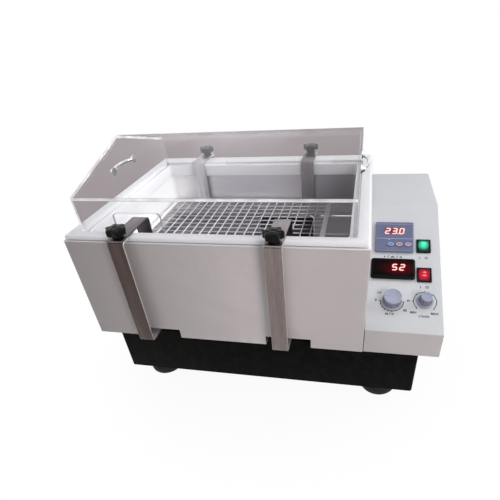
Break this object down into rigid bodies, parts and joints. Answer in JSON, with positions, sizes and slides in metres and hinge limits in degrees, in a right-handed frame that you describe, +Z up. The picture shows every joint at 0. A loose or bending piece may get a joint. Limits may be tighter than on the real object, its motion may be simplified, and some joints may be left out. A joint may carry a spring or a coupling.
{
  "type": "water bath shaker",
  "caption": "Heated laboratory water bath with a clear roofed lid, a wire shaking tray hung on straps from a motor-driven carriage, and a sloping control box.",
  "frame": {"origin": "on the floor under the middle of the instrument", "axes": "+X to the control box's end, +Y to the back, +Z up"},
  "size_m": [0.672, 0.5112, 0.477],
  "materials": {
    "cream_paint": "satin powder coat",
    "black_paint": "satin powder coat",
    "white_plastic": "smooth semi-gloss",
    "stainless": "fine satin",
    "wire": "polished wire",
    "steel": "machined",
    "chrome": "polished",
    "brass": "machined",
    "clear": "clear polished sheet",
    "rubber": "matt moulded",
    "black_plastic": "satin",
    "slate_plastic": "satin",
    "silver_plastic": "metallic satin",
    "blue_key": "soft satin",
    "pink_key": "soft satin",
    "green_lamp": "glossy lens",
    "red_lamp": "glossy lens"
  },
  "bodies": {
    "housing": {"base_housing": "black_paint", "base_plate": "black_paint", "foot_front_left": "rubber", "foot_front_right": "rubber", "foot_rear_left": "rubber", "foot_rear_right": "rubber", "body_shell": "cream_paint", "control_box": "cream_paint", "rim": "white_plastic", "bath_tank": "stainless", "heater_tube": "steel", "temperature_probe": "steel", "drain_pipe": "steel", "drain_tap": "brass", "guide_rod_front": "chrome", "guide_rod_rear": "chrome", "drive_frame": "steel", "drive_motor": "steel", "drive_belt": "rubber", "temperature_controller": "slate_plastic", "speed_meter": "black_plastic", "power_switch_frame": "black_plastic", "shake_switch_frame": "black_plastic", "cable_gland": "black_plastic"},
    "lid": {"lid_front": "clear", "lid_back": "clear", "lid_left": "clear", "lid_right": "clear", "lid_roof": "clear", "lid_handle_left": "chrome", "lid_handle_right": "chrome"},
    "carriage": {"carriage_frame": "steel", "bearing_front_left": "steel", "bearing_front_right": "steel", "bearing_rear_left": "steel", "bearing_rear_right": "steel", "strap_front_left": "stainless", "strap_front_right": "stainless", "strap_rear_left": "stainless", "strap_rear_right": "stainless", "hanger_front_left": "stainless", "hanger_front_right": "stainless", "hanger_rear_left": "stainless", "hanger_rear_right": "stainless", "tray": "wire"},
    "clamp_front_left": {"clamp_knob_front_left": "black_plastic"},
    "clamp_front_right": {"clamp_knob_front_right": "black_plastic"},
    "clamp_rear_left": {"clamp_knob_rear_left": "black_plastic"},
    "clamp_rear_right": {"clamp_knob_rear_right": "black_plastic"},
    "connecting_rod": {"connecting_rod": "steel"},
    "crank": {"crank_wheel": "steel"},
    "pulley": {"motor_pulley": "steel"},
    "drain_lever": {"drain_lever": "steel"},
    "set_key": {"set_key": "blue_key"},
    "lower_key": {"lower_key": "pink_key"},
    "raise_key": {"raise_key": "pink_key"},
    "power_rocker": {"power_rocker": "green_lamp"},
    "shake_rocker": {"shake_rocker": "red_lamp"},
    "timer_knob": {"timer_knob": "silver_plastic"},
    "speed_knob": {"speed_knob": "silver_plastic"}
  },
  "joints": [
    {"name": "lid_lift", "type": "slide", "parent": "housing", "child": "lid", "axis": [0, 0, 1], "range_m": [0, 0.16]},
    {"name": "tray_shake", "type": "slide", "parent": "housing", "child": "carriage", "axis": [1, 0, 0], "range_m": [0, 0.028]},
    {"name": "rod_swing", "type": "hinge", "parent": "carriage", "child": "connecting_rod", "pos_m": [-0.136, 0, 0.119], "axis": [0, 0, 1], "range_deg": [-7.3, 7.3]},
    {"name": "crank_spin", "type": "hinge", "parent": "housing", "child": "crank", "pos_m": [-0.012, 0, 0.107], "axis": [0, 0, 1], "continuous": true},
    {"name": "pulley_spin", "type": "hinge", "parent": "housing", "child": "pulley", "pos_m": [0.116, 0, 0.107], "axis": [0, 0, 1], "continuous": true},
    {"name": "drain_turn", "type": "hinge", "parent": "housing", "child": "drain_lever", "pos_m": [-0.27, 0.227, 0.096], "axis": [0, 0, 1], "range_deg": [0, 90]},
    {"name": "clamp_front_left_turn", "type": "hinge", "parent": "carriage", "child": "clamp_front_left", "pos_m": [-0.218, -0.237, 0.3663], "axis": [0, 0, 1], "range_deg": [0, 720]},
    {"name": "clamp_front_right_turn", "type": "hinge", "parent": "carriage", "child": "clamp_front_right", "pos_m": [0.054, -0.237, 0.3663], "axis": [0, 0, 1], "range_deg": [0, 720]},
    {"name": "clamp_rear_left_turn", "type": "hinge", "parent": "carriage", "child": "clamp_rear_left", "pos_m": [-0.218, 0.242, 0.3663], "axis": [0, 0, 1], "range_deg": [0, 720]},
    {"name": "clamp_rear_right_turn", "type": "hinge", "parent": "carriage", "child": "clamp_rear_right", "pos_m": [0.054, 0.242, 0.3663], "axis": [0, 0, 1], "range_deg": [0, 720]},
    {"name": "set_key_press", "type": "slide", "parent": "housing", "child": "set_key", "axis": [0, 0.4169, -0.909], "range_m": [0, 0.001], "stiffness_N_per_m": 600, "springref_m": -0.001},
    {"name": "lower_key_press", "type": "slide", "parent": "housing", "child": "lower_key", "axis": [0, 0.4169, -0.909], "range_m": [0, 0.001], "stiffness_N_per_m": 600, "springref_m": -0.001},
    {"name": "raise_key_press", "type": "slide", "parent": "housing", "child": "raise_key", "axis": [0, 0.4169, -0.909], "range_m": [0, 0.001], "stiffness_N_per_m": 600, "springref_m": -0.001},
    {"name": "power_rocker_tilt", "type": "hinge", "parent": "housing", "child": "power_rocker", "pos_m": [0.306, -0.05932, 0.26941], "axis": [1, 0, 0], "range_deg": [-14, 0]},
    {"name": "shake_rocker_tilt", "type": "hinge", "parent": "housing", "child": "shake_rocker", "pos_m": [0.306, -0.11931, 0.2419], "axis": [1, 0, 0], "range_deg": [-14, 0]},
    {"name": "timer_turn", "type": "hinge", "parent": "housing", "child": "timer_knob", "pos_m": [0.2495, -0.17385, 0.2193], "axis": [0, 0.4169, -0.909], "range_deg": [0, 300]},
    {"name": "speed_turn", "type": "hinge", "parent": "housing", "child": "speed_knob", "pos_m": [0.3065, -0.17113, 0.22055], "axis": [0, 0.4169, -0.909], "range_deg": [-110, 160]}
  ],
  "couplings": [
    {"joint": "pulley_spin", "follows": "crank_spin", "ratio": 3.4837}
  ]
}
